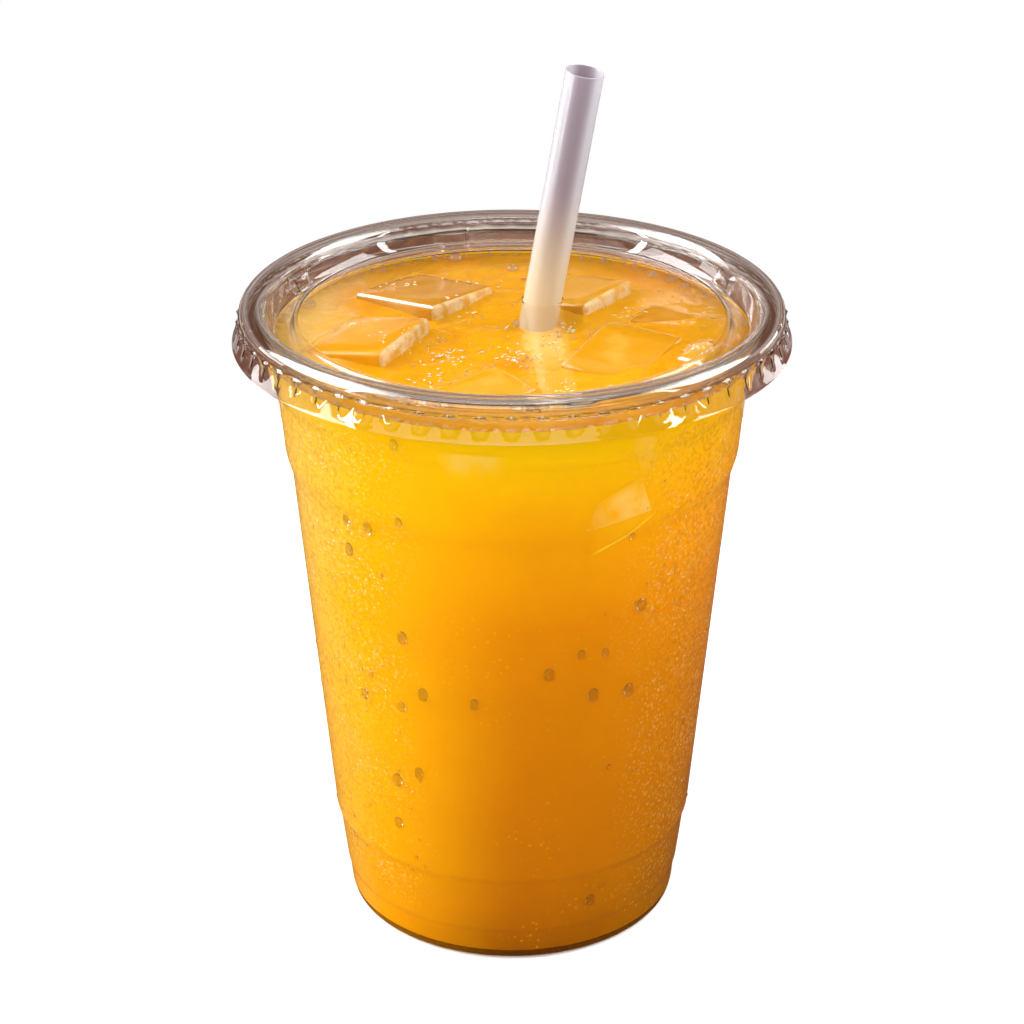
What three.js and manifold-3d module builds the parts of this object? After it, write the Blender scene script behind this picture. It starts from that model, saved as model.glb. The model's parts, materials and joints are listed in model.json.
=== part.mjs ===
// A clear plastic takeaway cup of orange juice with a flat clear lid, a straw and floating ice.
// Millimetres, +Z up, origin on the table at the middle of the cup's base. The front is towards -Y.
import * as THREE from 'three';
import { mergeVertices } from 'three/addons/utils/BufferGeometryUtils.js';
import Module from 'manifold-3d';

const wasm = await Module();
wasm.setup();

// Shared sizes
const aroundSegments = 60;      // facets round the cup, the lid and the juice
const gap = 0.32;               // clearance between neighbouring pieces

// Cup: wall, base and the two moulded steps that let empty cups stack
const cupWall = 0.6;
const footRadius = 31.4;        // outside of the ring that the cup stands on
const footInnerRadius = 28.6;
const footCorner = 0.8;
const baseRecess = 1.4;         // how far the middle of the base is raised off the table
const heelRadius = 32.65;       // small ledge just above the foot
const heelHeight = 7.0;
const heelLedge = 0.35;
const lowerStepRadius = 34.6;   // ledge at the top of the foot band
const lowerStepHeight = 19.2;
const lowerStepLedge = 0.55;
const lowerStepDrop = 1.3;
const bodyTopRadius = 41.2;
const bodyTopHeight = 90.8;
const collarRadius = 42.35;     // the body steps out here
const collarHeight = 94.4;
const neckRadius = 43.45;       // and here again, just under the lid
const neckHeight = 107.2;
const neckStep = 0.75;
const neckStepRise = 1.6;
const floorCorner = 1;          // slope where the floor meets the wall inside

// Rolled rim of the cup
const rimCentreRadius = 47.6;
const rimCentreHeight = 120.55;
const rimRollRadius = 1.72;
const rimArcSteps = 9;
const rimArcStart = -140;       // degrees, where the roll leaves the wall outside
const wallTopInset = 0.15;      // the wall meets the roll this far inside it
const wallTopDrop = 2.3;

// Lid: one pressed sheet, from the raised middle to the flared skirt
const lidWall = 0.4;
const panelTop = 119.9;         // top of the raised middle
const panelRadius = 39.5;
const channelTop = 117.3;       // ring-shaped channel round the raised middle
const channelInner = 40.9;
const channelOuter = 43.7;
const panelEdge = [0.5, 0.3];   // chamfer round the raised middle, out and down
const channelCorner = [0.6, 0.5];
const beadClearance = 0.4;      // between the rolled rim and the bead that clips over it
const beadArcSteps = 8;
const beadArcEnd = -22;         // degrees, where the bead turns into the skirt
const skirtRadius = 51.5;       // widest part of the whole object
const skirtBottom = 115.3;
const skirtPinch = [0.2, 119.0];   // how far the skirt nips in under the bead, and where
const skirtFlare = 0.75;        // the skirt at the pleats' tips, short of its widest
const pleatCount = 60;          // pointed pleats pressed into the skirt
const pleatTop = 119.35;
const pleatBottom = 116.35;
const pleatWidth = 3.5;
const pleatDepth = 0.55;
const pleatRoot = 0.1;          // how far a pleat reaches into the sheet
const lugWidth = 4.6;           // bumps that keep stacked lids apart
const lugTop = 120.1;
const lugFoot = 0.9;
const lugHead = 1.0;
const lugGroupAngles = [-115, 65];
const lugAngleStep = 50;

// Straw: leans to the right and slightly to the front
const strawRadius = 3.55;
const strawBore = 3.3;
const strawSides = 24;
const strawBottom = new THREE.Vector3(-13.55, 12.55, 4.6);
const strawTop = new THREE.Vector3(13.05, 4.5, 164.1);

// Juice
const juiceLevel = 114.6;

// Ice: centre of the top face, size along and across, depth, turn about Z and tilt of the top
const iceDepth = 17;
const iceCubes = [
  { name: 'ice_left', at: [-26.5, -4.0, 117.1], size: [20, 16], turn: 65, tilt: [0, -8] },
  { name: 'ice_back_left', at: [-16.7, 19.6, 116.9], size: [18.5, 19.5], turn: 52, tilt: [4, -5] },
  { name: 'ice_back_right', at: [12.5, 19.4, 116.9], size: [17, 14], turn: 56, tilt: [0, -8] },
  { name: 'ice_front_right', at: [20.0, -10.5, 116.5], size: [22, 15], turn: 65, tilt: [-3, 5] },
  { name: 'ice_right', at: [29.0, 6.8, 115.8], size: [12, 9.6], turn: -30, tilt: [4, 3] },
  { name: 'ice_right_edge', at: [34.4, -10.4, 116.2], size: [12, 5.6], turn: 65, tilt: [5, 4] },
  { name: 'ice_front', at: [-4.0, -27.0, 116.0], size: [13, 12], turn: 42, tilt: [-5, 3] },
];
const iceFaceSegments = 3;
const iceRounding = 1.6;        // radius of the melted edges
const iceUnevenness = 0.35;     // how far the melted faces wander

const clearPlastic = { color: 0xeef0f2, roughness: 0.08, metalness: 0 };
const lidPlastic = { color: 0xe6e8ec, roughness: 0.1, metalness: 0 };
const frostedPlastic = { color: 0xe4dde6, roughness: 0.35, metalness: 0 };
const orangeJuice = { color: 0xf5a807, roughness: 0.12, metalness: 0 };
const clearIce = { color: 0xf6d9a0, roughness: 0.08, metalness: 0 };

// Shapes to solids and back
function closedSolid(geometry) {
  const bare = geometry.clone();
  bare.deleteAttribute('normal');
  bare.deleteAttribute('uv');
  const merged = mergeVertices(bare, 1e-4);
  const index = merged.index.array;
  const triangles = [];
  for (let i = 0; i < index.length; i += 3) {
    const [a, b, c] = [index[i], index[i + 1], index[i + 2]];
    if (a !== b && b !== c && c !== a) triangles.push(a, b, c);
  }
  const vertices = merged.attributes.position.array;
  if (signedVolume(vertices, triangles) < 0) turnInsideOut(triangles);
  const mesh = new wasm.Mesh({
    numProp: 3,
    vertProperties: new Float32Array(vertices),
    triVerts: new Uint32Array(triangles),
  });
  return new wasm.Manifold(mesh);
}

function signedVolume(vertices, triangles) {
  const corners = [new THREE.Vector3(), new THREE.Vector3(), new THREE.Vector3()];
  let volume = 0;
  for (let i = 0; i < triangles.length; i += 3) {
    corners.forEach((corner, k) => corner.fromArray(vertices, triangles[i + k] * 3));
    volume += corners[0].dot(corners[1].clone().cross(corners[2])) / 6;
  }
  return volume;
}

function turnInsideOut(triangles) {
  for (let i = 0; i < triangles.length; i += 3) {
    const second = triangles[i + 1];
    triangles[i + 1] = triangles[i + 2];
    triangles[i + 2] = second;
  }
}

function solidGeometry(solid) {
  const mesh = solid.getMesh();
  const geometry = new THREE.BufferGeometry();
  geometry.setAttribute('position', new THREE.BufferAttribute(new Float32Array(mesh.vertProperties), 3));
  geometry.setIndex(new THREE.BufferAttribute(new Uint32Array(mesh.triVerts), 1));
  geometry.computeVertexNormals();
  return geometry;
}

// A closed outline of [radius, height] points, spun about the cup's axis
function spun(outline) {
  const points = outline.map(([radius, height]) => new THREE.Vector2(Math.max(radius, 0), height));
  const geometry = new THREE.LatheGeometry(points, aroundSegments);
  geometry.rotateX(Math.PI / 2);
  return closedSolid(geometry);
}

function arc(centreRadius, centreHeight, radius, fromDegrees, toDegrees, steps) {
  const points = [];
  for (let i = 0; i <= steps; i += 1) {
    const angle = THREE.MathUtils.degToRad(fromDegrees + ((toDegrees - fromDegrees) * i) / steps);
    points.push([centreRadius + radius * Math.cos(angle), centreHeight + radius * Math.sin(angle)]);
  }
  return points;
}

const sharpestMitre = 0.5;

// Moves a line sideways by a distance, with mitred corners
function shifted(line, distance) {
  return line.map(([radius, height], i) => {
    const before = line[Math.max(i - 1, 0)];
    const after = line[Math.min(i + 1, line.length - 1)];
    const here = [radius, height];
    const first = i > 0 ? sideOf(before, here) : sideOf(here, after);
    const second = i < line.length - 1 ? sideOf(here, after) : first;
    const side = first.clone().add(second).normalize();
    const reach = distance / Math.max(side.dot(first), sharpestMitre);
    return [radius + side.x * reach, height + side.y * reach];
  });
}

function sideOf(from, to) {
  return new THREE.Vector2(from[1] - to[1], to[0] - from[0]).normalize();
}

// Cup
function cupOuterLine() {
  return [
    [footRadius, footCorner],
    [footRadius + heelLedge, 2 * footCorner],
    [heelRadius - heelLedge, heelHeight - footCorner],
    [heelRadius, heelHeight],
    [lowerStepRadius - lowerStepLedge, lowerStepHeight - lowerStepDrop],
    [lowerStepRadius, lowerStepHeight],
    [bodyTopRadius, bodyTopHeight],
    [collarRadius, collarHeight],
    [neckRadius, neckHeight],
    [neckRadius + neckStep, neckHeight + neckStepRise],
    [rimCentreRadius - rimRollRadius - wallTopInset, rimCentreHeight - wallTopDrop],
  ];
}

const cupInnerLine = shifted(cupOuterLine(), cupWall).filter(([, height]) => height > baseRecess + cupWall);

function cup() {
  const outline = [
    [0, baseRecess],
    [footInnerRadius - baseRecess, baseRecess],
    [footInnerRadius, 0],
    [footRadius - footCorner, 0],
    ...cupOuterLine(),
    ...arc(rimCentreRadius, rimCentreHeight, rimRollRadius, rimArcStart, 180, rimArcSteps),
    ...cupInnerLine.slice().reverse(),
    [cupInnerLine[0][0] - floorCorner, baseRecess + cupWall],
    [0, baseRecess + cupWall],
  ];
  return spun(outline);
}

// Lid
function lidMiddleLine() {
  const half = lidWall / 2;
  const beadRadius = rimRollRadius + beadClearance + half;
  return [
    [0, panelTop - half],
    [panelRadius, panelTop - half],
    [panelRadius + panelEdge[0], panelTop - half - panelEdge[1]],
    [channelInner, channelTop - half],
    [channelOuter, channelTop - half],
    [channelOuter + channelCorner[0], channelTop - half + channelCorner[1]],
    ...arc(rimCentreRadius, rimCentreHeight, beadRadius, 180, beadArcEnd, beadArcSteps),
    [rimCentreRadius + beadRadius - skirtPinch[0], skirtPinch[1]],
    [skirtRadius - skirtFlare, pleatBottom + half],
    [skirtRadius - half, skirtBottom + half / 2],
  ];
}

function skirtPleat(angle) {
  const sheet = rimCentreRadius + rimRollRadius + beadClearance + lidWall / 2;
  const corners = [
    [sheet, -pleatWidth / 2, pleatTop],
    [sheet, pleatWidth / 2, pleatTop],
    [sheet + pleatDepth, 0, pleatTop - pleatRoot],
    [skirtRadius - skirtFlare, 0, pleatBottom],
    [sheet - pleatRoot, 0, pleatTop - pleatDepth],
  ];
  const faces = [0, 2, 1, 0, 3, 2, 1, 2, 3, 0, 1, 4, 0, 4, 3, 1, 3, 4];
  const geometry = new THREE.BufferGeometry();
  geometry.setAttribute('position', new THREE.Float32BufferAttribute(corners.flat(), 3));
  geometry.setIndex(faces);
  geometry.rotateZ(angle);
  return closedSolid(geometry);
}

function stackingLug(angle) {
  const wallFoot = channelOuter + channelCorner[1];
  const wallTop = rimCentreRadius - rimRollRadius - beadClearance - lidWall;
  const section = new THREE.Shape([
    new THREE.Vector2(wallFoot - lugFoot - lidWall, channelTop - lidWall / 2),
    new THREE.Vector2(wallFoot, channelTop - lidWall / 2),
    new THREE.Vector2(wallTop, lugTop),
    new THREE.Vector2(wallTop - lugHead, lugTop),
  ]);
  const geometry = new THREE.ExtrudeGeometry(section, { depth: lugWidth, bevelEnabled: false });
  geometry.translate(0, 0, -lugWidth / 2);
  geometry.rotateX(Math.PI / 2);
  geometry.rotateZ(angle);
  return closedSolid(geometry);
}

function lid() {
  const middle = lidMiddleLine();
  const topLine = shifted(middle, lidWall / 2);
  const underLine = shifted(middle, -lidWall / 2).reverse();
  let solid = spun([...topLine, ...underLine]);
  for (let i = 0; i < pleatCount; i += 1) {
    solid = solid.add(skirtPleat(((i + 0.5) * 2 * Math.PI) / pleatCount));
  }
  for (const middleAngle of lugGroupAngles) {
    for (const step of [-1, 0, 1]) {
      solid = solid.add(stackingLug(frontAngle(middleAngle + step * lugAngleStep)));
    }
  }
  return solid.subtract(strawRod(strawRadius + gap, gap));
}

// An angle counted from the front (-Y), positive to the right, as an angle about Z
function frontAngle(degrees) {
  return THREE.MathUtils.degToRad(degrees - 90);
}

// Straw: a round rod along its line, longer at both ends by the given reach
function strawRod(radius, reach) {
  const along = strawTop.clone().sub(strawBottom);
  const length = along.length() + 2 * reach;
  const rod = new THREE.CylinderGeometry(radius, radius, length, strawSides);
  const turn = new THREE.Quaternion().setFromUnitVectors(new THREE.Vector3(0, 1, 0), along.normalize());
  const middle = strawTop.clone().add(strawBottom).multiplyScalar(0.5);
  rod.applyQuaternion(turn);
  rod.translate(middle.x, middle.y, middle.z);
  return closedSolid(rod);
}

function straw() {
  return strawRod(strawRadius, 0).subtract(strawRod(strawBore, strawBore));
}

// Ice: a cube with melted, uneven faces, its top face at the given place
function iceCube(cube, grow) {
  const [along, across] = cube.size;
  const size = [along + 2 * grow, across + 2 * grow, iceDepth + 2 * grow];
  const geometry = new THREE.BoxGeometry(...size, iceFaceSegments, iceFaceSegments, iceFaceSegments);
  const position = geometry.attributes.position;
  const point = new THREE.Vector3();
  const core = new THREE.Vector3();
  const half = new THREE.Vector3(...size).multiplyScalar(0.5);
  const rounding = iceRounding + grow;
  for (let i = 0; i < position.count; i += 1) {
    point.fromBufferAttribute(position, i);
    core.copy(point).clamp(
      half.clone().negate().addScalar(rounding),
      half.clone().subScalar(rounding),
    );
    const outwards = point.clone().sub(core).normalize();
    const place = point.clone().divide(half);
    const wander = unevenness(place, cube.turn) * iceUnevenness;
    point.copy(core).addScaledVector(outwards, rounding + wander);
    position.setXYZ(i, point.x, point.y, point.z);
  }
  geometry.translate(0, 0, -iceDepth / 2);
  geometry.rotateX(THREE.MathUtils.degToRad(cube.tilt[1]));
  geometry.rotateY(THREE.MathUtils.degToRad(cube.tilt[0]));
  geometry.rotateZ(THREE.MathUtils.degToRad(cube.turn));
  geometry.translate(...cube.at);
  return closedSolid(geometry);
}

// A smooth wander between -1 and 1 that differs from cube to cube
function unevenness(place, seed) {
  const waveX = Math.sin(2.3 * place.x + 1.1 * place.y + seed);
  const waveY = Math.sin(1.7 * place.y - 2.1 * place.z + 2 * seed);
  return (waveX + waveY) / 2;
}

// Juice: fills the cup to its level, cut round the straw and the ice
function juice() {
  const wallLine = shifted(cupInnerLine, gap).filter(([, height]) => height < juiceLevel);
  const [lastRadius, lastHeight] = wallLine[wallLine.length - 1];
  const neckSlope = (cupInnerLine.at(-1)[0] - lastRadius - gap) / (cupInnerLine.at(-1)[1] - lastHeight);
  const outline = [
    [0, baseRecess + cupWall + gap],
    [wallLine[0][0] - floorCorner, baseRecess + cupWall + gap],
    ...wallLine,
    [lastRadius + neckSlope * (juiceLevel - lastHeight), juiceLevel],
    [0, juiceLevel],
  ];
  let solid = spun(outline).subtract(strawRod(strawRadius + gap, gap));
  for (const cube of iceCubes) {
    solid = solid.subtract(iceCube(cube, gap));
  }
  return solid;
}

function named(name, solid, look) {
  const mesh = new THREE.Mesh(solidGeometry(solid), new THREE.MeshStandardMaterial(look));
  mesh.name = name;
  return mesh;
}

const drink = new THREE.Group();
drink.add(named('cup', cup(), clearPlastic));
drink.add(named('lid', lid(), lidPlastic));
drink.add(named('straw', straw(), frostedPlastic));
drink.add(named('juice', juice(), orangeJuice));
for (const cube of iceCubes) {
  drink.add(named(cube.name, iceCube(cube, 0), clearIce));
}

export default drink;
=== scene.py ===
import json
import math
import random

import bpy
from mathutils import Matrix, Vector

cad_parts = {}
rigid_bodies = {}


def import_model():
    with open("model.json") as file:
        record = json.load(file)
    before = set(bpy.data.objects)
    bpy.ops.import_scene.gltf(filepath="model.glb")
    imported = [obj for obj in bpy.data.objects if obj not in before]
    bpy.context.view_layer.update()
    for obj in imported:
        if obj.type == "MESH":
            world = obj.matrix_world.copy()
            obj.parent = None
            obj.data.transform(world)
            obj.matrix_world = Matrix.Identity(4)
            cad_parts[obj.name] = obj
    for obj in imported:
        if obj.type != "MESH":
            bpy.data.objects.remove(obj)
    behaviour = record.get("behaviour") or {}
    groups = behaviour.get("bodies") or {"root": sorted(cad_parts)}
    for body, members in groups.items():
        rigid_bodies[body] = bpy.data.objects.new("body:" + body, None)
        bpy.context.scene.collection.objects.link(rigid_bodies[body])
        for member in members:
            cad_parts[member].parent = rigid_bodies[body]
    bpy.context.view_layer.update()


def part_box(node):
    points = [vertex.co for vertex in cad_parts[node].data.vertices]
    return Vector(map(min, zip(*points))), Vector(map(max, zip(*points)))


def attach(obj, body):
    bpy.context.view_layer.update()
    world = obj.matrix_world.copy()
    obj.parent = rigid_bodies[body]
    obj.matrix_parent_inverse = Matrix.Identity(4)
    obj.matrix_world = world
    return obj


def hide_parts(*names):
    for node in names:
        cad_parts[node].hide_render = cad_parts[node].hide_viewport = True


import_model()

mm = 0.001

# Read off the CAD solids
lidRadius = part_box("lid")[1].x
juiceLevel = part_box("juice")[1].z


# Small helpers for modelling by hand

def leaveEdit():
    bpy.ops.object.mode_set(mode="OBJECT")


def deselectAll():
    if bpy.context.mode != "OBJECT":
        leaveEdit()
    bpy.ops.object.select_all(action="DESELECT")


def makeActive(piece):
    deselectAll()
    piece.select_set(True)
    bpy.context.view_layer.objects.active = piece


def enterEdit(piece):       # edit mode with everything selected
    makeActive(piece)
    bpy.ops.object.mode_set(mode="EDIT")
    bpy.ops.mesh.select_all(action="SELECT")


def addModifier(piece, kind, **values):     # adds it and applies it
    makeActive(piece)
    bpy.ops.object.modifier_add(type=kind)
    modifier = piece.modifiers[-1]
    for key, value in values.items():
        setattr(modifier, key, value)
    bpy.ops.object.modifier_apply(modifier=modifier.name)


def settle(piece):      # leave the object at the origin, with its place in its mesh
    makeActive(piece)
    bpy.ops.object.transform_apply(location=True, rotation=True, scale=True)


def smooth(piece, degrees=35):
    makeActive(piece)
    bpy.ops.object.shade_smooth_by_angle(angle=math.radians(degrees))


def finishPiece(piece, material, replaced=None):
    piece.data.materials.clear()
    for one in (material if isinstance(material, list) else [material]):
        piece.data.materials.append(one)
    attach(piece, "root")
    if replaced:
        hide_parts(*replaced)
    print(piece.name, len(piece.data.polygons), "faces")
    return piece


def rounded(corners, steps=4):      # corners are (radius, height, rounding) in mm
    points = []
    for i, (r, z, rounding) in enumerate(corners):
        here = Vector((r, z))
        if rounding == 0 or i in (0, len(corners) - 1):
            points.append(here)
            continue
        back = (Vector(corners[i - 1][:2]) - here)
        ahead = (Vector(corners[i + 1][:2]) - here)
        start = here + back.normalized() * min(rounding, back.length * 0.45)
        end = here + ahead.normalized() * min(rounding, ahead.length * 0.45)
        for k in range(steps + 1):
            t = k / steps
            points.append(start * (1 - t) ** 2 + here * 2 * t * (1 - t) + end * t ** 2)
    return [(p.x, p.y) for p in points]


def arcPoints(centre, radius, fromDegrees, toDegrees, steps):
    points = []
    for k in range(steps + 1):
        angle = math.radians(fromDegrees + (toDegrees - fromDegrees) * k / steps)
        points.append((centre[0] + radius * math.cos(angle), centre[1] + radius * math.sin(angle)))
    return points


def offsetLine(points, distance):       # shifts a line to its left, in mm
    shifted = []
    for i, here in enumerate(points):
        before = Vector(points[max(i - 1, 0)])
        after = Vector(points[min(i + 1, len(points) - 1)])
        along = (after - before).normalized()
        shifted.append((here[0] - along.y * distance, here[1] + along.x * distance))
    return shifted


def drawLine(name, points, y=0):        # a string of edges in the plane at y, in mm, left in edit mode
    deselectAll()
    first = points[0]
    bpy.ops.mesh.primitive_plane_add(size=mm, location=(first[0] * mm, y * mm, first[1] * mm))
    piece = bpy.context.active_object
    piece.name = name
    settle(piece)
    enterEdit(piece)
    bpy.ops.mesh.merge(type="CENTER")
    for before, after in zip(points, points[1:]):
        step = ((after[0] - before[0]) * mm, 0, (after[1] - before[1]) * mm)
        bpy.ops.mesh.extrude_vertices_move(TRANSFORM_OT_translate={"value": step})
    bpy.ops.mesh.select_all(action="SELECT")
    return piece


def faceOutwards():      # turns all faces outwards and leaves edit mode
    bpy.ops.mesh.select_all(action="SELECT")
    bpy.ops.mesh.normals_make_consistent(inside=False)
    leaveEdit()


def spinOutline(name, points, steps):       # points are (radius, height) in mm
    piece = drawLine(name, points)
    bpy.ops.mesh.spin(steps=steps, angle=2 * math.pi, center=(0, 0, 0), axis=(0, 0, 1))
    bpy.ops.mesh.select_all(action="SELECT")
    bpy.ops.mesh.remove_doubles(threshold=2e-6)
    faceOutwards()
    return piece


def selectPoints(piece, test):      # selects the vertices that pass the test, in edit mode
    makeActive(piece)
    bpy.ops.object.mode_set(mode="EDIT")
    bpy.ops.mesh.select_mode(type="VERT")
    bpy.ops.mesh.select_all(action="DESELECT")
    leaveEdit()
    count = 0
    for vertex in piece.data.vertices:
        if test(vertex.co):
            vertex.select = True
            count += 1
    bpy.ops.object.mode_set(mode="EDIT")
    return count


def cutAway(piece, cutter, operation="DIFFERENCE"):     # cuts with the cutter, then removes it
    addModifier(piece, "BOOLEAN", operation=operation, solver="EXACT", object=cutter)
    bpy.data.objects.remove(cutter)


def outlinePrism(name, corners, fromY, toY):     # corners are (across, height) in mm, seen from the front
    prism = drawLine(name, corners, fromY)
    bpy.ops.mesh.edge_face_add()
    bpy.ops.mesh.extrude_region_move(TRANSFORM_OT_translate={"value": (0, (toY - fromY) * mm, 0)})
    faceOutwards()
    return prism


def beads(name, places, segments=12, rings=8):      # places are (centre, radii, turn), in mm and radians
    batches = []
    for first in range(0, len(places), 24):      # small batches, as a large mesh makes each addition slow
        deselectAll()
        for count, (centre, radii, turn) in enumerate(places[first:first + 24]):
            bpy.ops.mesh.primitive_uv_sphere_add(
                segments=segments, ring_count=rings, radius=mm, location=Vector(centre) * mm,
                rotation=(0, 0, turn), scale=radii)
            if count == 0:
                batches.append(bpy.context.active_object)
                settle(batches[-1])
                bpy.ops.object.mode_set(mode="EDIT")
        leaveEdit()
    piece = joinPieces(batches)
    piece.name = name
    smooth(piece, 60)
    return piece


def joinPieces(pieces):
    deselectAll()
    for piece in pieces:
        piece.select_set(True)
    bpy.context.view_layer.objects.active = pieces[0]
    if len(pieces) > 1:
        bpy.ops.object.join()
    return pieces[0]


def fromAxis(point):
    return math.hypot(point.x, point.y)


def lineRadius(line, height):       # radius of an outline at a height, in mm
    for before, after in zip(line, line[1:]):
        low, high = sorted((before[1], after[1]))
        if low <= height <= high and high > low:
            share = (height - before[1]) / (after[1] - before[1])
            return before[0] + (after[0] - before[0]) * share
    return line[-1][0]


# Small helpers for materials

def feed(link, value, socket):      # links a socket, or sets a plain value
    if isinstance(value, bpy.types.NodeSocket):
        link(value, socket)
    else:
        socket.default_value = value


def fade(nodes, link, value, low, high, kind="SMOOTHSTEP"):     # 0 at low, 1 at high
    spread = nodes.new("ShaderNodeMapRange")
    spread.interpolation_type = kind
    spread.inputs["From Min"].default_value = low
    spread.inputs["From Max"].default_value = high
    link(value, spread.inputs["Value"])
    return spread.outputs["Result"]


def sums(nodes, link, operation, *values):
    node = nodes.new("ShaderNodeMath")
    node.operation = operation
    for index, value in enumerate(values):
        feed(link, value, node.inputs[index])
    return node.outputs[0]


def times(nodes, link, first, *others):
    for other in others:
        first = sums(nodes, link, "MULTIPLY", first, other)
    return first


def mixColours(nodes, link, factor, first, second, blend="MIX"):
    mix = nodes.new("ShaderNodeMix")
    mix.data_type = "RGBA"
    mix.blend_type = blend
    for index, value in ((0, factor), (6, first), (7, second)):
        feed(link, value, mix.inputs[index])
    return mix.outputs[2]


def noiseAt(nodes, link, place, scale, detail=2):
    noise = nodes.new("ShaderNodeTexNoise")
    feed(link, scale, noise.inputs["Scale"])
    noise.inputs["Detail"].default_value = detail
    link(place, noise.inputs["Vector"])
    return noise.outputs["Fac"]


def cellsAt(nodes, link, place, scale, output="Distance"):
    cells = nodes.new("ShaderNodeTexVoronoi")
    cells.inputs["Scale"].default_value = scale
    link(place, cells.inputs["Vector"])
    return cells.outputs[output]


def places3(nodes, link):       # the object's own place, and its X, Y and Z
    place = nodes.new("ShaderNodeTexCoord")
    split = nodes.new("ShaderNodeSeparateXYZ")
    link(place.outputs["Object"], split.inputs["Vector"])
    return place.outputs["Object"], split.outputs["X"], split.outputs["Y"], split.outputs["Z"]


def heightRamp(nodes, link, height, stops):      # stops are (height in mm, colour)
    low, high = stops[0][0] * mm, stops[-1][0] * mm
    ramp = nodes.new("ShaderNodeValToRGB")
    elements = ramp.color_ramp.elements
    elements[0].color = (*stops[0][1], 1)
    elements[1].color = (*stops[-1][1], 1)
    for at, colour in stops[1:-1]:
        elements.new((at * mm - low) / (high - low)).color = (*colour, 1)
    link(fade(nodes, link, height, low, high, "LINEAR"), ramp.inputs["Fac"])
    return ramp.outputs["Color"]


# Node groups that more than one material uses

def newGroup(name, inputs, outputs):        # inputs are numbers, outputs are numbers or colours
    group = bpy.data.node_groups.new(name, "ShaderNodeTree")
    for label, value in inputs.items():
        socket = group.interface.new_socket(label, in_out="INPUT", socket_type="NodeSocketFloat")
        socket.default_value = value
    for label, kind in outputs.items():
        group.interface.new_socket(label, in_out="OUTPUT", socket_type="NodeSocket" + kind)
    return group, group.nodes.new("NodeGroupInput"), group.nodes.new("NodeGroupOutput")


def makeUnevenSkin():       # soft waviness and a little roughness change, for lid, ice and juice
    group, enter, leave = newGroup(
        "unevenSkin", {"Size": 90.0, "Low": 0.02, "High": 0.08}, {"Height": "Float", "Roughness": "Float"})
    nodes, link = group.nodes, group.links.new
    place = nodes.new("ShaderNodeTexCoord").outputs["Object"]
    waves = noiseAt(nodes, link, place, enter.outputs["Size"], 3)
    spread = nodes.new("ShaderNodeMapRange")
    link(waves, spread.inputs["Value"])
    link(enter.outputs["Low"], spread.inputs["To Min"])
    link(enter.outputs["High"], spread.inputs["To Max"])
    link(waves, leave.inputs["Height"])
    link(spread.outputs["Result"], leave.inputs["Roughness"])
    return group


mistValues = {
    "layers": [(1150, 0.42), (720, 0.34)],      # scale of the pattern and size of its drops
    "top": 0.05,
    "patchScale": 90,
    "patches": (0.3, 0.6),
    "left": (-0.012, -0.026),       # where the mist sets in, in metres
    "right": (0.014, 0.034),
    "front": (0.012, -0.004),
    "back": (-0.01, 0.01),
    "backShare": 0.55,
    "foot": (0.004, 0.012),
    "level": (0.113, 0.108),
    "bump": 0.0003,
}


def makeColdMist():      # fine drops of mist, in patches, as heights from 0 to 1
    group, enter, leave = newGroup("coldMist", {"Cover": 0.5}, {"Height": "Float"})
    nodes, link = group.nodes, group.links.new
    place = nodes.new("ShaderNodeTexCoord").outputs["Object"]
    domes = []
    for scale, size in mistValues["layers"]:
        domes.append(fade(nodes, link, cellsAt(nodes, link, place, scale), size, mistValues["top"]))
    higher = sums(nodes, link, "MAXIMUM", *domes)
    patches = noiseAt(nodes, link, place, mistValues["patchScale"])
    cover = fade(nodes, link, patches, *mistValues["patches"], "LINEAR")
    link(times(nodes, link, higher, cover, enter.outputs["Cover"]), leave.inputs["Height"])
    return group


unevenSkin = makeUnevenSkin()
coldMist = makeColdMist()


def newMaterial(name, **values):
    material = bpy.data.materials.new(name)
    material.use_nodes = True
    shader = material.node_tree.nodes["Principled BSDF"]
    for socket, value in values.items():
        shader.inputs[socket.replace("_", " ")].default_value = value
    return material, material.node_tree.nodes, material.node_tree.links.new, shader


def addBump(nodes, link, height, strength, distance):
    bump = nodes.new("ShaderNodeBump")
    bump.inputs["Strength"].default_value = strength
    bump.inputs["Distance"].default_value = distance
    link(height, bump.inputs["Height"])
    link(bump.outputs["Normal"], nodes["Principled BSDF"].inputs["Normal"])


def addSkin(nodes, link, size, low, high, strength, distance=0.0004):
    skin = nodes.new("ShaderNodeGroup")
    skin.node_tree = unevenSkin
    for label, value in (("Size", size), ("Low", low), ("High", high)):
        skin.inputs[label].default_value = value
    addBump(nodes, link, skin.outputs["Height"], strength, distance)
    link(skin.outputs["Roughness"], nodes["Principled BSDF"].inputs["Roughness"])


# Cup

cupValues = {
    "wall": 0.5,
    "base": [(0, 1.4), (26, 1.4), (27.6, 1.1), (28.6, 0.1), (29.0, 0)],     # under the cup, in mm
    "floorTop": 1.95,
    "floorRounding": 1.2,
    "steps": 180,
    "plastic": (0.97, 0.97, 0.96, 1),
    "rimCentre": (47.6, 120.55),
    "rimRoll": 1.72,
    "rimSheet": 0.42,
    "rimEnd": -130,
}

# radius, height and rounding of each corner up the outside of the cup, in mm
cupCorners = [
    (29.6, 0.0, 0), (31.4, 0.25, 0.9), (31.9, 1.9, 1.0), (32.3, 6.2, 0.5), (32.65, 7.0, 0.5),
    (34.0, 17.9, 0.6), (34.6, 19.2, 0.6), (41.2, 90.8, 1.2), (42.35, 94.4, 1.2),
    (43.45, 107.2, 0.6), (44.2, 108.8, 0.6), (45.73, 118.25, 0),
]

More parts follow.
